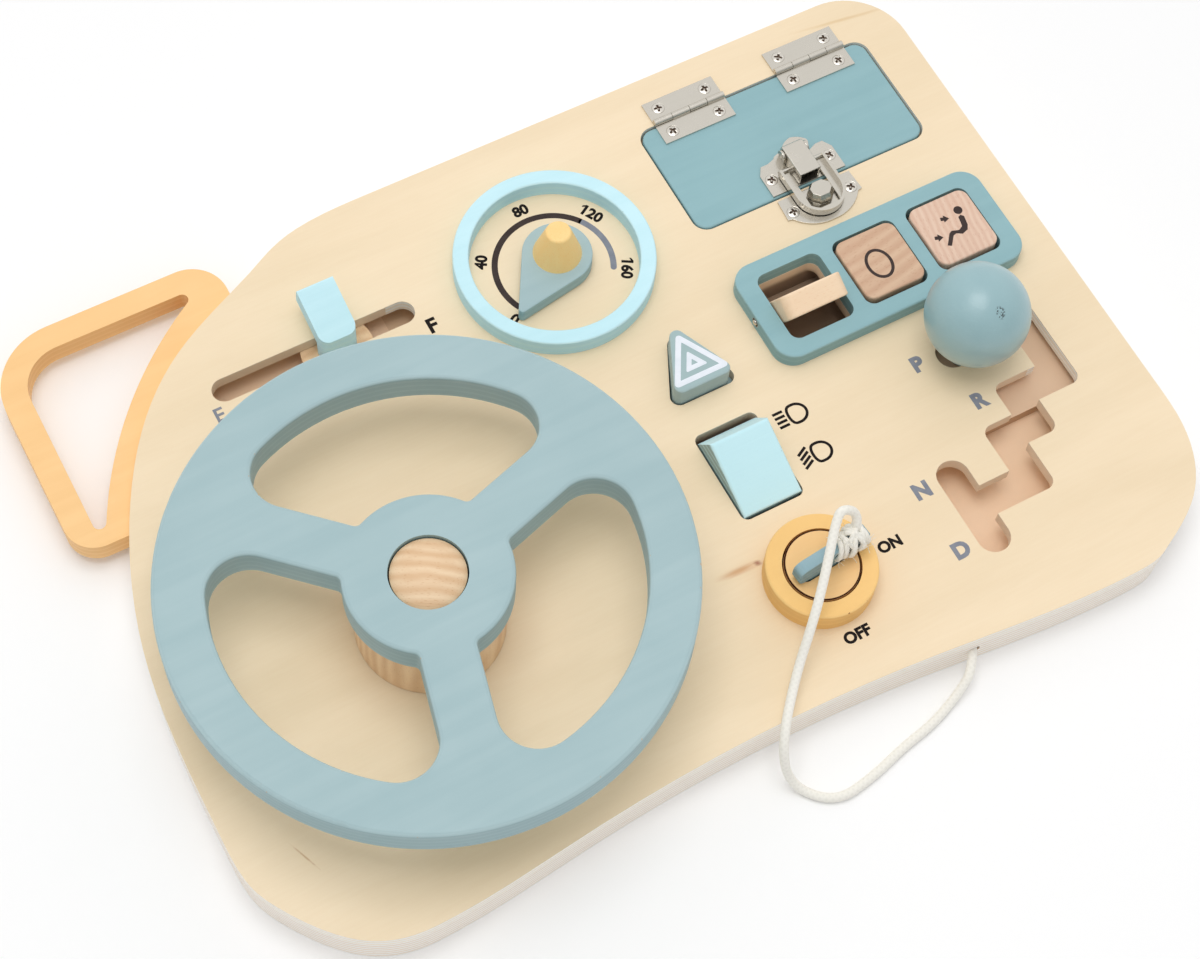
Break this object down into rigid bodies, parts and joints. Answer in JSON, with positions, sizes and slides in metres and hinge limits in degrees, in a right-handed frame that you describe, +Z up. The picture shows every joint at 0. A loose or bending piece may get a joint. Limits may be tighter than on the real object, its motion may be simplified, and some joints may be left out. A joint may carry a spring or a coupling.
{
  "type": "wooden busy board",
  "caption": "Toy dashboard of layered plywood with steering wheel, pointer dial, lever, button, rocker, key, latched door, spinning tiles and gear knob.",
  "frame": {"origin": "middle of the board's underside, below the middle of its outline with the carry handle", "axes": "+X to the right along the board, +Y towards its top edge, +Z up out of the face a child plays on"},
  "size_m": [0.392, 0.3, 0.0661],
  "materials": {
    "birch_ply": "clear-lacquered birch plywood",
    "blue_ply": "blue-grey stained birch plywood",
    "mint_ply": "pale aqua stained birch plywood",
    "orange_ply": "apricot stained birch plywood",
    "beech": "bare beech, sanded",
    "blue_ball": "satin blue-grey ball knob",
    "nickel": "nickel-plated sheet steel",
    "zinc_steel": "zinc-plated steel",
    "foam_grey": "soft foam rubber",
    "cord_white": "white braided cotton cord"
  },
  "bodies": {
    "board": {"back_panel": "birch_ply", "core_panel": "birch_ply", "top_panel": "birch_ply", "side_handle": "orange_ply", "back_screws": "zinc_steel", "gate_floor": "birch_ply", "gauge_ring": "mint_ply", "ignition_ring": "orange_ply", "tile_frame": "blue_ply", "tile_rod": "zinc_steel", "wheel_bolt": "zinc_steel", "wheel_washer": "zinc_steel", "wheel_nut": "zinc_steel", "rocker_pin": "zinc_steel", "button_pad": "foam_grey", "catch_plate": "nickel", "catch_screws": "nickel", "hinge_board_leaves": "nickel", "hinge_pins": "nickel", "board_hinge_screws": "nickel", "pull_cord": "cord_white", "stop_knot": "cord_white"},
    "wheel": {"steering_wheel": "blue_ply", "wheel_spacer": "beech", "wheel_cap": "beech", "wheel_screws": "zinc_steel"},
    "fuel_slider": {"fuel_lever": "mint_ply", "fuel_carriage": "beech", "fuel_screw": "zinc_steel"},
    "pointer": {"gauge_pointer": "blue_ply", "pointer_knob": "beech", "pointer_bolt": "zinc_steel"},
    "button": {"hazard_button": "mint_ply"},
    "rocker": {"light_rocker": "mint_ply"},
    "lock": {"ignition_barrel": "birch_ply", "barrel_washer": "birch_ply", "barrel_screw": "zinc_steel"},
    "key": {"ignition_key": "blue_ply", "key_knot": "cord_white"},
    "door": {"glovebox_door": "blue_ply", "hinge_door_leaves": "nickel", "door_hinge_screws": "nickel", "latch_base": "nickel", "latch_screws": "nickel", "latch_pin": "nickel"},
    "latch_lever_body": {"latch_lever": "nickel"},
    "latch_loop_body": {"latch_loop": "nickel"},
    "left_tile": {"tile_1": "beech"},
    "middle_tile": {"tile_2": "beech"},
    "right_tile": {"tile_3": "beech"},
    "shifter": {"shift_ball": "blue_ball", "shift_stem": "blue_ply", "shift_flange": "birch_ply", "shift_screw": "zinc_steel"}
  },
  "joints": [
    {"name": "wheel_spin", "type": "hinge", "parent": "board", "child": "wheel", "pos_m": [-0.0951, -0.0385, 0.04], "axis": [0, 0, 1], "continuous": true},
    {"name": "fuel_slide", "type": "slide", "parent": "board", "child": "fuel_slider", "axis": [1, 0, 0], "range_m": [-0.042, 0.023]},
    {"name": "pointer_spin", "type": "hinge", "parent": "board", "child": "pointer", "pos_m": [0.0159, 0.0741, 0.025], "axis": [0, 0, 1], "continuous": true},
    {"name": "hazard_press", "type": "slide", "parent": "board", "child": "button", "axis": [0, 0, -1], "range_m": [0, 0.004], "stiffness_N_per_m": 400, "springref_m": -0.001, "deforming": ["button_pad"]},
    {"name": "light_rock", "type": "hinge", "parent": "board", "child": "rocker", "pos_m": [0.03805, -0.0362, 0.0145], "axis": [1, 0, 0], "range_deg": [-44, 0]},
    {"name": "ignition_turn", "type": "hinge", "parent": "board", "child": "lock", "pos_m": [0.0381, -0.087, 0.025], "axis": [0, 0, 1], "range_deg": [-90, 0]},
    {"name": "key_lift", "type": "slide", "parent": "lock", "child": "key", "axis": [0, 0, 1], "range_m": [0, 0.009], "deforming": ["pull_cord"]},
    {"name": "door_hinge", "type": "hinge", "parent": "board", "child": "door", "pos_m": [0.1245, 0.113, 0.0214], "axis": [-1, 0, 0], "range_deg": [0, 150]},
    {"name": "latch_throw", "type": "hinge", "parent": "door", "child": "latch_lever_body", "pos_m": [0.1226, 0.075, 0.0242], "axis": [-1, 0, 0], "range_deg": [0, 90]},
    {"name": "loop_swing", "type": "hinge", "parent": "latch_lever_body", "child": "latch_loop_body", "pos_m": [0.1226, 0.069, 0.0232], "axis": [-1, 0, 0], "range_deg": [0, 60]},
    {"name": "left_tile_spin", "type": "hinge", "parent": "board", "child": "left_tile", "pos_m": [0.09165, 0.01425, 0.0235], "axis": [1, 0, 0], "continuous": true},
    {"name": "middle_tile_spin", "type": "hinge", "parent": "board", "child": "middle_tile", "pos_m": [0.12515, 0.01425, 0.0235], "axis": [1, 0, 0], "continuous": true},
    {"name": "right_tile_spin", "type": "hinge", "parent": "board", "child": "right_tile", "pos_m": [0.15865, 0.01425, 0.0235], "axis": [1, 0, 0], "continuous": true},
    {"name": "shift_slide", "type": "slide", "parent": "board", "child": "shifter", "axis": [1, 0, 0], "range_m": [-0.0062, 0.0256]}
  ]
}
